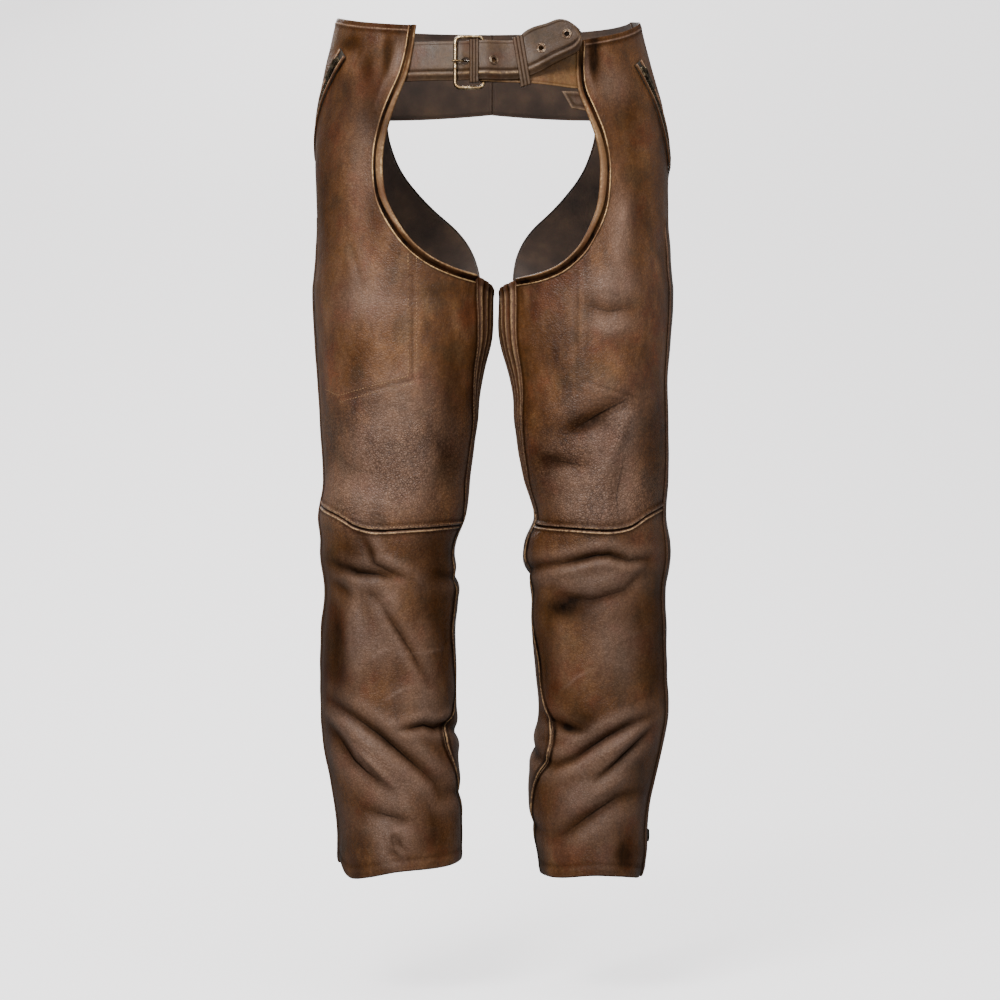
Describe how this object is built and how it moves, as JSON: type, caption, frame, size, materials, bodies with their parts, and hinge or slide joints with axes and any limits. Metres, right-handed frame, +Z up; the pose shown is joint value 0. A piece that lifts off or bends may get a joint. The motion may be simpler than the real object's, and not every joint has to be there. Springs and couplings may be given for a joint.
{
  "type": "leather riding chaps",
  "caption": "Pair of brown leather chaps joined at the waist by a buckled belt, open at front and seat, with slanted zip pockets and full-length outer leg zips.",
  "frame": {"origin": "centre of the waist, where the wearer's waist and hips hold the chaps up", "axes": "+Z up, -Y to the wearer's front, +X to the wearer's left"},
  "size_m": [0.3949, 0.2565, 0.9418],
  "materials": {
    "leather": "distressed brown cowhide, waxed, semi-matt",
    "leather_pleats": "darker brown cowhide in narrow pleats",
    "strap_leather": "taupe brown belt leather, semi-matt",
    "binding": "tan folded leather binding",
    "zip_tape": "black woven zip tape with a dark metal chain",
    "antique_brass": "antique brass, worn bright on its edges",
    "black_snap": "black enamelled cap"
  },
  "bodies": {
    "chaps": {"front_thigh_r": "leather", "front_thigh_l": "leather", "front_shin_r": "leather", "front_shin_l": "leather", "inner_thigh_r": "leather_pleats", "inner_thigh_l": "leather_pleats", "back_leg_r": "leather", "back_leg_l": "leather", "back_yoke_r": "leather", "back_yoke_l": "leather", "edge_binding_r": "binding", "edge_binding_l": "binding", "zip_flap_r": "leather", "zip_flap_l": "leather", "leg_zip_r": "zip_tape", "leg_zip_l": "zip_tape", "pocket_tape_r": "zip_tape", "pocket_tape_l": "zip_tape", "pocket_lip_front_r": "binding", "pocket_lip_front_l": "binding", "pocket_lip_back_r": "binding", "pocket_lip_back_l": "binding", "pocket_slider_r": "antique_brass", "pocket_slider_l": "antique_brass", "leg_slider_r": "antique_brass", "leg_slider_l": "antique_brass", "cuff_snap_r": "black_snap", "cuff_snap_l": "black_snap", "strap_holes": "strap_leather", "strap_buckle": "strap_leather", "buckle_frame": "antique_brass", "buckle_prong": "antique_brass", "keeper_inner": "strap_leather", "keeper_outer": "strap_leather", "eyelet_1": "antique_brass", "eyelet_2": "antique_brass", "eyelet_3": "antique_brass", "stay_tab": "leather"},
    "pocket_pull_r": {"pocket_pull_r": "antique_brass"},
    "pocket_pull_l": {"pocket_pull_l": "antique_brass"},
    "leg_pull_r": {"leg_pull_r": "antique_brass"},
    "leg_pull_l": {"leg_pull_l": "antique_brass"}
  },
  "joints": [
    {"name": "pocket_pull_r_swing", "type": "hinge", "parent": "chaps", "child": "pocket_pull_r", "pos_m": [-0.17058, -0.05443, -0.01047], "axis": [-0.3805, 0.6536, 0.6543], "range_deg": [0, 150]},
    {"name": "pocket_pull_l_swing", "type": "hinge", "parent": "chaps", "child": "pocket_pull_l", "pos_m": [0.1664, -0.05412, -0.01994], "axis": [-0.4186, -0.7736, -0.4756], "range_deg": [0, 150]},
    {"name": "leg_pull_r_swing", "type": "hinge", "parent": "chaps", "child": "leg_pull_r", "pos_m": [-0.16199, 0.05199, -0.82895], "axis": [0.515, 0.8571, 0.0129], "range_deg": [-8, 150]},
    {"name": "leg_pull_l_swing", "type": "hinge", "parent": "chaps", "child": "leg_pull_l", "pos_m": [0.17071, 0.03309, -0.82906], "axis": [0.2723, -0.9622, -0.007], "range_deg": [-8, 150]}
  ]
}
